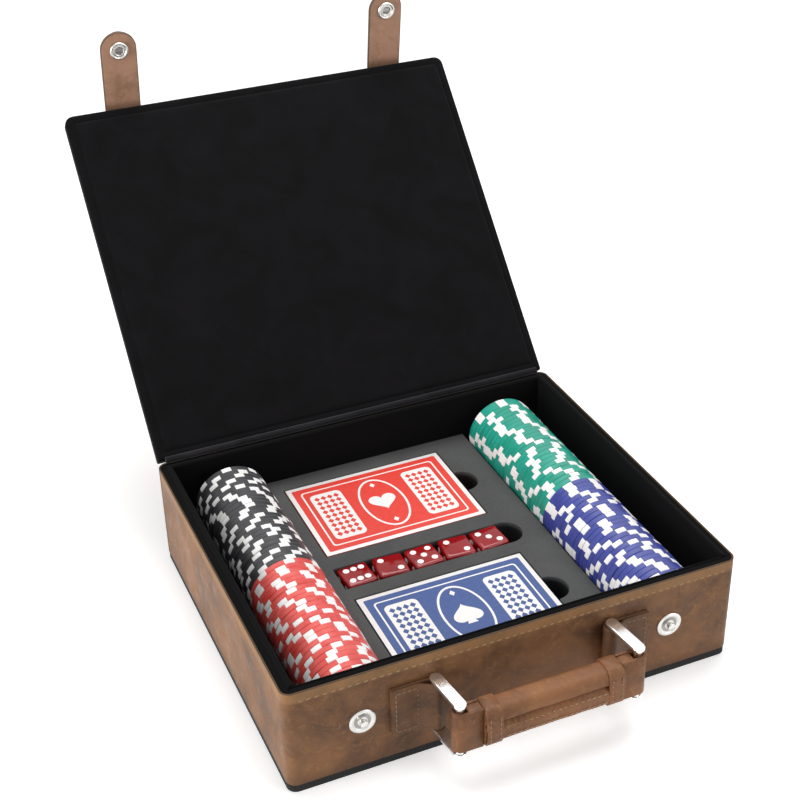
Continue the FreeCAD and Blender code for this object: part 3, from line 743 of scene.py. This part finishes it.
def snap_studs():
    """The studs on the front wall: a ringed flange with a waisted knob."""
    low, high = box_of("snap_studs")
    radius = (high.z - low.z) / 2
    middle_z = (high.z + low.z) / 2
    wall, tip = high.y, low.y
    depth = wall - tip
    facing = Matrix.Rotation(math.radians(90), 4, "X")
    bm = bmesh.new()
    for x in (low.x + radius, high.x - radius):
        profile = [(0, depth), (1.3 * MM, depth), (1.85 * MM, depth - 0.35 * MM), (2.0 * MM, depth - 0.9 * MM),
                   (1.7 * MM, depth - 1.5 * MM), (1.75 * MM, 0.75 * MM), (2.4 * MM, 0.45 * MM),
                   (4.1 * MM, 0.4 * MM), (4.6 * MM, 0.75 * MM), (5.2 * MM, 1.0 * MM), (5.9 * MM, 0.95 * MM),
                   (radius, 0.5 * MM), (radius, 0.0), (0, 0)]
        place = Matrix.Translation((x, wall, middle_z)) @ facing
        spun(bm, profile, place)
    # The sunk flange round each knob takes the darker nickel: painted shade in the recess
    for face in bm.faces:
        centre = face.calc_center_median()
        reach = min(math.hypot(centre.x - x, centre.z - middle_z) for x in (low.x + radius, high.x - radius))
        face.material_index = 1 if 2.3 * MM < reach < 4.2 * MM else 0
    piece(bm, "snap_studs_plated", [snap_nickel, snap_nickel_shaded], "tray", ["snap_studs"])


# Handle


def arc(centre, radius, start, end, steps=16):
    """Points along an arc seen from above, between two angles in degrees."""
    points = []
    for step in range(steps + 1):
        angle = math.radians(start + (end - start) * step / steps)
        points.append(Vector((centre.x + radius * math.cos(angle), centre.y + radius * math.sin(angle), 0)))
    return points


def mirrored(points, centre_x, side):
    """Turns a left-hand path into a right-hand one."""
    if side == "left":
        return points
    return [Vector((2 * centre_x - point.x, point.y, point.z)) for point in points]


def handle_tab(side):
    """A leather tab folded round the ring's bar and sewn to the front wall."""
    low, high = box_of("handle_tab_" + side)
    pivot = Vector(joints["ring_swing_" + side]["pos_m"])
    wall = high.y
    leaf = 1.45 * MM
    loop = wall - pivot.y - leaf / 2
    length = (high.x - low.x) - (loop + leaf / 2)
    far_x = pivot.x - length
    surface = wall - 2 * leaf - 0.1 * MM + leaf / 2
    front = [Vector((far_x, surface, 0)), Vector((pivot.x - 10 * MM, surface, 0)),
             Vector((pivot.x - 7.5 * MM, surface - 0.35 * MM, 0)),
             Vector((pivot.x - 4.5 * MM, surface - 2.2 * MM, 0))]
    around = arc(pivot, loop, -108, 90)
    back = [Vector((pivot.x - 6 * MM, wall - leaf / 2, 0)), Vector((far_x, wall - leaf / 2, 0))]
    bm = bmesh.new()
    upright_strap(bm, mirrored(front + around + back, pivot.x, side), leaf, low.z, high.z, 0.4 * MM)
    piece(bm, "tab_leather_" + side, [tab_leather], "tray", ["handle_tab_" + side], sharp=50)
    inset = 2.0 * MM
    y = surface - leaf / 2 - 0.02 * MM
    near_x = pivot.x - 8.5 * MM
    corners = [Vector((far_x + inset, y, low.z + inset)), Vector((near_x, y, low.z + inset)),
               Vector((near_x, y, high.z - inset)), Vector((far_x + inset, y, high.z - inset))]
    corners = mirrored(corners, pivot.x, side)
    bm = bmesh.new()
    for start, end in zip(corners, corners[1:] + corners[:1]):
        stitch_run(bm, start, end, -Y_AXIS, fine_stitch_pitch)
    piece(bm, "tab_stitches_" + side, [brown_thread], "tray")


def end_loop(side):
    """The strap end that goes round the ring's outer bar, folded back on the handle's core."""
    low, high = box_of("end_loop_" + side)
    radius = (high.y - low.y) / 2
    leaf = 1.45 * MM
    inward = 1 if side == "left" else -1
    bar_x = low.x + radius if side == "left" else high.x - radius
    inner_x = high.x if side == "left" else low.x
    bar = Vector((bar_x, (low.y + high.y) / 2, 0))
    loop = radius - leaf / 2
    end_x = bar.x + abs(inner_x - bar.x)
    path = [Vector((end_x, bar.y - loop, 0)), Vector((bar.x + 3 * MM, bar.y - loop, 0))]
    path += arc(bar, loop, 270, 90)
    path += [Vector((bar.x + 3 * MM, bar.y + loop, 0)), Vector((end_x, bar.y + loop, 0))]
    bm = bmesh.new()
    upright_strap(bm, mirrored(path, bar.x, side), leaf, low.z, high.z, 0.4 * MM)
    core_from = bar.x + inward * 3.2 * MM
    span = sorted((core_from, inner_x))
    block_into(bm, (span[0], bar.y - loop + leaf / 2, low.z + 0.7 * MM),
               (span[1], bar.y + loop - leaf / 2, high.z - 0.7 * MM), 0.3 * MM)
    piece(bm, "end_loop_leather_" + side, [strap_leather], "handle", ["end_loop_" + side],
          sharp=50)


seam_height = 2.0 * MM
seam_depth = 1.9 * MM
seam_half_width = 0.8 * MM
lap_height = 0.8 * MM
ruffle_height = 0.3 * MM


def grip_profile(centre, half_depth, half_height, swell, x, count=120):
    """One section of the grip: well rounded, with the cover's overlapped seam along the front."""
    points = []
    power = 2 / 3.4
    for index in range(count):
        angle = 2 * math.pi * index / count
        cosine, sine = math.cos(angle), math.sin(angle)
        depth = (half_depth + swell) * math.copysign(abs(cosine) ** power, cosine)
        height = (half_height + swell) * math.copysign(abs(sine) ** power, sine)
        if swell == 0 and depth < 0:
            below_seam = seam_height - height
            groove = seam_depth * math.exp(-(below_seam / (0.9 * MM)) ** 2)
            lap = lap_height if 0.8 * MM < below_seam < seam_height + half_height * 0.75 else 0
            pull = math.exp(-((below_seam - 2.2 * MM) / (1.3 * MM)) ** 2)
            ruffle = ruffle_height * pull * math.cos(2 * math.pi * x / fine_stitch_pitch)
            ripple = 0.25 * MM * noise.noise(Vector((x * 140, depth * 90, height * 140)))
            depth += groove - lap + ruffle + ripple
        points.append(centre + Vector((x, depth, height)))
    return points


def grip():
    """The padded leather grip between its two keepers."""
    low, high = box_of("grip_cover")
    centre = Vector((0, (low.y + high.y) / 2, (low.z + high.z) / 2))
    half_depth, half_height = (high.y - low.y) / 2, (high.z - low.z) / 2
    sections = 200
    loops = []
    for index in range(sections + 1):
        x = low.x + (high.x - low.x) * index / sections
        loops.append(grip_profile(centre, half_depth, half_height, 0, x))
    bm = bmesh.new()
    loft(bm, loops)
    seam_z = centre.z + seam_height
    # The faces in the seam's groove take the near-black leather: painted shade
    for face in bm.faces:
        middle = face.calc_center_median()
        in_seam_shade = middle.y < centre.y and abs(middle.z - seam_z) < seam_half_width and len(face.verts) == 4
        face.material_index = 1 if in_seam_shade else 0
    piece(bm, "grip_leather", [strap_leather, seam_shade_leather], "handle",
          ["grip_cover", "grip_core"], sharp=60)
    bm = bmesh.new()
    y = low.y - lap_height
    for drop in (2.2 * MM, seam_height + half_height * 0.55):
        z = centre.z + seam_height - drop
        stitch_run(bm, Vector((low.x + 9 * MM, y, z)), Vector((high.x - 9 * MM, y, z)), -Y_AXIS,
                   fine_stitch_pitch)
    piece(bm, "grip_stitches", [tan_thread], "handle")


def grip_keeper(side):
    """A leather band round one end of the grip, with a row of stitches along each edge."""
    low, high = box_of("grip_keeper_" + side)
    grip_low, grip_high = box_of("grip_cover")
    centre = Vector((0, (low.y + high.y) / 2, (low.z + high.z) / 2))
    half_depth, half_height = (grip_high.y - grip_low.y) / 2, (grip_high.z - grip_low.z) / 2
    swell = (high.y - low.y) / 2 - half_depth
    steps = ((0.0, -0.1 * MM), (0.0, swell * 0.6), (0.35 * MM, swell), (-0.35 * MM, swell), (0.0, swell * 0.6),
             (0.0, -0.1 * MM))
    loops = []
    for index, (inset, grown) in enumerate(steps):
        x = (low.x if index < 3 else high.x) + inset
        loops.append(grip_profile(centre, half_depth, half_height, grown, x))
    bm = bmesh.new()
    loft(bm, loops, closed=True)
    piece(bm, "keeper_leather_" + side, [strap_leather], "handle", ["grip_keeper_" + side],
          sharp=50)
    bm = bmesh.new()
    y = low.y - 0.02 * MM
    for x in (low.x + 1.6 * MM, high.x - 1.6 * MM):
        start = Vector((x, y, centre.z - half_height * 0.7))
        end = Vector((x, y, centre.z + half_height * 0.7))
        stitch_run(bm, start, end, -Y_AXIS, fine_stitch_pitch)
    piece(bm, "keeper_stitches_" + side, [brown_thread], "handle")


# Chips

chip_segments = 48
spots_round_edge = 8
spot_share = 0.29
face_ring = 13.6 * MM


def chip_into(bm, centre, radius, thickness, turn, detailed):
    """One chip with its axis along Y: plain flats inside a row, moulded ones at its ends."""
    half = thickness / 2
    edge = 0.35 * MM
    profile = [(0, half), (radius - edge, half), (radius, half - edge), (radius, edge - half),
               (radius - edge, -half), (0, -half)]
    if detailed:
        sunk = 0.2 * MM
        profile = [(0, half - sunk), (12.6 * MM, half - sunk), (12.9 * MM, half), (face_ring, half),
                   (radius - edge, half), (radius, half - edge), (radius, edge - half), (radius - edge, -half),
                   (face_ring, -half), (12.9 * MM, -half), (12.6 * MM, sunk - half), (0, sunk - half)]
    faces_before = set(bm.faces)
    new = spun(bm, profile, Matrix.Identity(4), chip_segments)
    step = 2 * math.pi / spots_round_edge
    for face in set(bm.faces) - faces_before:
        middle = face.calc_center_median()
        reach = math.hypot(middle.x, middle.y)
        angle = math.atan2(middle.y, middle.x) % step
        face.material_index = 1 if reach > face_ring and angle < step * spot_share else 0
    stand = Matrix.Translation(centre) @ Matrix.Rotation(turn, 4, "Y") @ Matrix.Rotation(math.pi / 2, 4, "X")
    bmesh.ops.transform(bm, matrix=stand, verts=new)


def chip_row(colour, material):
    """Twenty-five chips on edge, each turned and shifted a little by hand."""
    node = "chips_" + colour
    low, high = box_of(node)
    count = 25
    gap = 0.05 * MM
    pitch = (high.y - low.y + gap) / count
    radius = (high.z - low.z) / 2
    bm = bmesh.new()
    for index in range(count):
        shift_x = random.uniform(-0.22, 0.22) * MM
        shift_z = random.uniform(0, 0.3) * MM
        centre = Vector(((low.x + high.x) / 2 + shift_x, low.y + pitch * (index + 0.5) - gap / 2,
                         (low.z + high.z) / 2 + shift_z))
        turn = random.uniform(0, 2 * math.pi)
        chip_into(bm, centre, radius - 0.05 * MM, pitch - gap, turn, index in (0, count - 1))
    piece(bm, node + "_moulded", [material, chip_white], node, [node], sharp=30)


# Dice


def pips(number):
    """Pip places on a face, in steps of the pip grid."""
    places = {1: [(0, 0)], 2: [(-1, 1), (1, -1)], 3: [(-1, 1), (0, 0), (1, -1)],
              4: [(-1, -1), (-1, 1), (1, -1), (1, 1)], 5: [(-1, -1), (-1, 1), (1, -1), (1, 1), (0, 0)],
              6: [(-1, -1), (0, -1), (1, -1), (-1, 1), (0, 1), (1, 1)]}
    return places[number]


def die_into(bm, size, top, place):
    """One die with the number top upwards, and opposite faces adding up to seven."""
    half = size / 2
    block_into(bm, (-half, -half, -half), (half, half, half), 1.6 * MM, place, segments=4)
    front = next(n for n in range(1, 7) if n not in (top, 7 - top))
    right = next(n for n in range(1, 7) if n not in (top, 7 - top, front, 7 - front))
    turns = ((top, 0, X_AXIS), (7 - top, 180, X_AXIS), (front, 90, X_AXIS), (7 - front, -90, X_AXIS),
             (right, 90, Y_AXIS), (7 - right, -90, Y_AXIS))
    spacing = 4.1 * MM
    for number, angle, axis in turns:
        face_turn = Matrix.Rotation(math.radians(angle), 4, axis)
        for across, along in pips(number):
            spot = Matrix.Translation((across * spacing, along * spacing, half - 0.02 * MM))
            dish = Matrix.Diagonal((1.75 * MM, 1.75 * MM, 0.14 * MM, 1))
            before = set(bm.faces)
            bmesh.ops.create_uvsphere(bm, u_segments=12, v_segments=6, radius=1,
                                      matrix=place @ face_turn @ spot @ dish)
            for face in set(bm.faces) - before:
                face.material_index = 1


def dice_row():
    """The five dice, as they lie in the photograph."""
    low, high = box_of("dice")
    tops = (6, 2, 5, 2, 3)
    size = high.z - low.z
    turn = math.radians(4)
    reach = (high.y - low.y) / 2
    pitch = (high.x - low.x - 2 * reach) / (len(tops) - 1)
    bm = bmesh.new()
    for index, top in enumerate(tops):
        centre = Vector((low.x + reach + index * pitch, (low.y + high.y) / 2, (low.z + high.z) / 2))
        place = Matrix.Translation(centre) @ Matrix.Rotation(turn * (-1) ** index, 4, "Z")
        die_into(bm, size, top, place)
    piece(bm, "dice_acrylic", [dice_red, pip_white], "dice", ["dice"])


# Card boxes

print_layer = 0.03 * MM


def heart(centre, size, z, flip=1, count=36):
    """A heart's outline; flipped, it is the top of a spade."""
    points = []
    for index in range(count):
        t = 2 * math.pi * index / count
        x = 16 * math.sin(t) ** 3
        y = 13 * math.cos(t) - 5 * math.cos(2 * t) - 2 * math.cos(3 * t) - math.cos(4 * t)
        points.append(Vector((centre.x + x * size / 32, centre.y + flip * (y + 2.5) * size / 32, z)))
    return points


def ellipse(centre, radius_x, radius_y, z, count=48):
    """An ellipse's outline."""
    return [Vector((centre.x + radius_x * math.cos(2 * math.pi * index / count),
                    centre.y + radius_y * math.sin(2 * math.pi * index / count), z)) for index in range(count)]


def lozenge(centre, width, height, z):
    """A diamond's outline."""
    return [Vector((centre.x + width / 2, centre.y, z)), Vector((centre.x, centre.y + height / 2, z)),
            Vector((centre.x - width / 2, centre.y, z)), Vector((centre.x, centre.y - height / 2, z))]


def panel(centre, size_x, size_y, radius, z):
    """A rounded panel's outline."""
    half = Vector((size_x / 2, size_y / 2, 0))
    return rounded_outline(centre - half, centre + half, radius, z, steps=4)


def lattice(bm, centre, size_x, size_y, z, material):
    """Rows of small diamonds that fill a panel."""
    step_x, step_y = 3.6 * MM, 4.2 * MM
    count_x, count_y = int(size_x / step_x), int(size_y / step_y)
    for column in range(count_x):
        for row in range(count_y):
            place = centre + Vector(((column - (count_x - 1) / 2) * step_x, (row - (count_y - 1) / 2) * step_y, 0))
            slab(bm, lozenge(place, 3.3 * MM, 3.9 * MM, z), print_layer, material)


def print_on_box(bm, low, high, emblem):
    """The generic print on a box's top: a framed field, two lattice panels and an oval with a suit sign."""
    centre = (low + high) / 2
    size_x, size_y = high.x - low.x, high.y - low.y
    white, ink = 0, 1
    layer = high.z - print_layer / 2
    border, frame_line = 2.6 * MM, 6.2 * MM
    slab(bm, panel(centre, size_x - 2 * border, size_y - 2 * border, 0.8 * MM, layer), print_layer, ink)
    layer += print_layer
    slab(bm, panel(centre, size_x - 2 * frame_line, size_y - 2 * frame_line, 2.0 * MM, layer), print_layer, white)
    layer += print_layer
    inner = frame_line + 0.9 * MM
    slab(bm, panel(centre, size_x - 2 * inner, size_y - 2 * inner, 1.6 * MM, layer), print_layer, ink)
    layer += print_layer
    panel_x, panel_y = 17.5 * MM, size_y - 2 * inner - 7 * MM
    shift = Vector((size_x / 2 - inner - 2.4 * MM - panel_x / 2, 0, 0))
    for sign in (-1, 1):
        slab(bm, panel(centre + sign * shift, panel_x, panel_y, 3.0 * MM, layer), print_layer, white)
        lattice(bm, centre + sign * shift, panel_x - 1.5 * MM, panel_y - 2.5 * MM, layer + print_layer, ink)
    oval_y = (size_y - 2 * inner) / 2 - 2.4 * MM
    slab(bm, ellipse(centre, 12.2 * MM, oval_y, layer), print_layer, white)
    slab(bm, ellipse(centre, 11.0 * MM, oval_y - 1.4 * MM, layer + print_layer), print_layer, ink)
    top = layer + 2 * print_layer
    if emblem == "heart":
        slab(bm, heart(centre, 15 * MM, top), print_layer, white)
    else:
        slab(bm, heart(centre + Vector((0, 1 * MM, 0)), 15 * MM, top, flip=-1), print_layer, white)
        stem = [centre + Vector((x * MM, y * MM, 0)) for x, y in ((-2.6, -7.5), (2.6, -7.5), (0, 1.0))]
        slab(bm, [Vector((point.x, point.y, top + print_layer / 2)) for point in stem], print_layer, white)
    for sign in (-1, 1):
        place = centre + Vector((0, sign * (oval_y - 5.5 * MM), 0))
        slab(bm, lozenge(place, 3.0 * MM, 4.2 * MM, top), print_layer, white)


def card_box(colour, material, emblem):
    """A paperboard tuck box with its printed top and a tucked end flap."""
    node = "card_box_" + colour
    low, high = box_of(node)
    bm = bmesh.new()
    block_into(bm, low, high - Vector((0, 0, print_layer)), 0.3 * MM)
    for face in bm.faces:
        face.material_index = 0 if face.normal.z > 0.9 else 1
    print_on_box(bm, low, high, emblem)
    flap = 0.3 * MM
    block_into(bm, (high.x - flap, low.y + 1.5 * MM, low.z + 5 * MM),
               (high.x + flap / 2, high.y - 1.5 * MM, high.z - 0.6 * MM), 0.1 * MM, material=1)
    piece(bm, node + "_printed", [print_white, material], "deck_" + colour, [node])
    cover("cards_" + colour, card_stock)


# Surroundings


def floor_material():
    """A pale sweep: white to the camera and in reflections, plain white card to everything else."""
    material = bpy.data.materials.new("pale_floor")
    material.use_nodes = True
    tree = material.node_tree
    tree.nodes.clear()
    card = add(tree, "ShaderNodeBsdfDiffuse", {"Color": linear("f2f2f2")})
    glow = add(tree, "ShaderNodeEmission", {"Color": linear("ffffff"), "Strength": 0.4})
    both = add(tree, "ShaderNodeAddShader", {0: card.outputs[0], 1: glow.outputs[0]})
    rays = add(tree, "ShaderNodeLightPath")
    seen = add(tree, "ShaderNodeMath", {0: rays.outputs["Is Camera Ray"], 1: rays.outputs["Is Glossy Ray"]},
               operation="MAXIMUM")
    shown = add(tree, "ShaderNodeMath", {0: seen.outputs[0], 1: rays.outputs["Is Transmission Ray"]},
                operation="MAXIMUM")
    mixed = add(tree, "ShaderNodeMixShader", {0: shown.outputs[0], 1: card.outputs[0], 2: both.outputs[0]})
    out = add(tree, "ShaderNodeOutputMaterial")
    tree.links.new(mixed.outputs[0], out.inputs["Surface"])
    return material


def add_floor():
    bm = bmesh.new()
    bmesh.ops.create_grid(bm, x_segments=1, y_segments=1, size=4)
    mesh = bpy.data.meshes.new("floor")
    bm.to_mesh(mesh)
    bm.free()
    mesh.materials.append(floor_material())
    floor = bpy.data.objects.new("floor", mesh)
    bpy.context.scene.collection.objects.link(floor)


def area_light(name, place, target, size, power, tint="ffffff"):
    """A square soft light that looks at a point."""
    data = bpy.data.lights.new(name, "AREA")
    data.size = size
    data.energy = power
    data.color = linear(tint)[:3]
    lamp = bpy.data.objects.new(name, data)
    lamp.location = place
    lamp.rotation_euler = (Vector(target) - Vector(place)).to_track_quat("-Z", "Y").to_euler()
    bpy.context.scene.collection.objects.link(lamp)


def add_lights():
    """A large soft light low on the left, a broad one overhead, and a weak one from the front right."""
    target = (0, 0.03, 0.06)
    area_light("key_left", (-1.3, -0.2, 0.32), target, 0.6, 12.0)
    area_light("overhead", (0.2, 0.3, 1.35), target, 1.1, 17.0)
    area_light("fill_right", (0.9, -1.0, 0.6), target, 0.9, 6.0)
    world = bpy.data.worlds.new("studio")
    world.use_nodes = True
    tree = world.node_tree
    tree.nodes.clear()
    rays = add(tree, "ShaderNodeLightPath")
    dim = add(tree, "ShaderNodeBackground", {"Color": linear("ffffff"), "Strength": 0.27})
    white = add(tree, "ShaderNodeBackground", {"Color": linear("ffffff"), "Strength": 1.0})
    seen = add(tree, "ShaderNodeMath", {0: rays.outputs["Is Camera Ray"], 1: rays.outputs["Is Glossy Ray"]},
               operation="MAXIMUM")
    mixed = add(tree, "ShaderNodeMixShader", {0: seen.outputs[0], 1: dim.outputs[0], 2: white.outputs[0]})
    out = add(tree, "ShaderNodeOutputWorld")
    tree.links.new(mixed.outputs[0], out.inputs["Surface"])
    bpy.context.scene.world = world


def add_camera():
    heading, tilt, roll = (math.radians(value) for value in (camera_heading, camera_tilt, camera_roll))
    forward = Vector((math.sin(heading) * math.cos(tilt), math.cos(heading) * math.cos(tilt), -math.sin(tilt)))
    right = Vector((math.cos(heading), -math.sin(heading), 0))
    up = right.cross(forward)
    rolled_right = right * math.cos(roll) + up * math.sin(roll)
    rolled_up = up * math.cos(roll) - right * math.sin(roll)
    data = bpy.data.cameras.new("camera")
    data.lens = camera_lens
    data.sensor_width = camera_sensor
    data.clip_start = 0.01
    data.clip_end = 20
    camera = bpy.data.objects.new("camera", data)
    turn = Matrix((rolled_right, rolled_up, -forward)).transposed()
    camera.matrix_world = Matrix.Translation(Vector(camera_place_mm) * MM) @ turn.to_4x4()
    bpy.context.scene.collection.objects.link(camera)
    bpy.context.scene.camera = camera


add_camera()
add_lights()
add_floor()
dress_tray()
front_stitching()
dress_foam()
lid_lining_piece()
lid_leather_piece()
for strap_side in ("left", "right"):
    strap(strap_side)
    strap_snap(strap_side)
    handle_tab(strap_side)
    cover("ring_" + strap_side, ring_chrome)
    end_loop(strap_side)
    grip_keeper(strap_side)
snap_studs()
grip()
chip_row("black", chip_black)
chip_row("red", chip_red)
chip_row("green", chip_green)
chip_row("blue", chip_blue)
dice_row()
card_box("red", print_red, "heart")
card_box("blue", print_blue, "spade")

bpy.context.scene.view_settings.view_transform = "Standard"
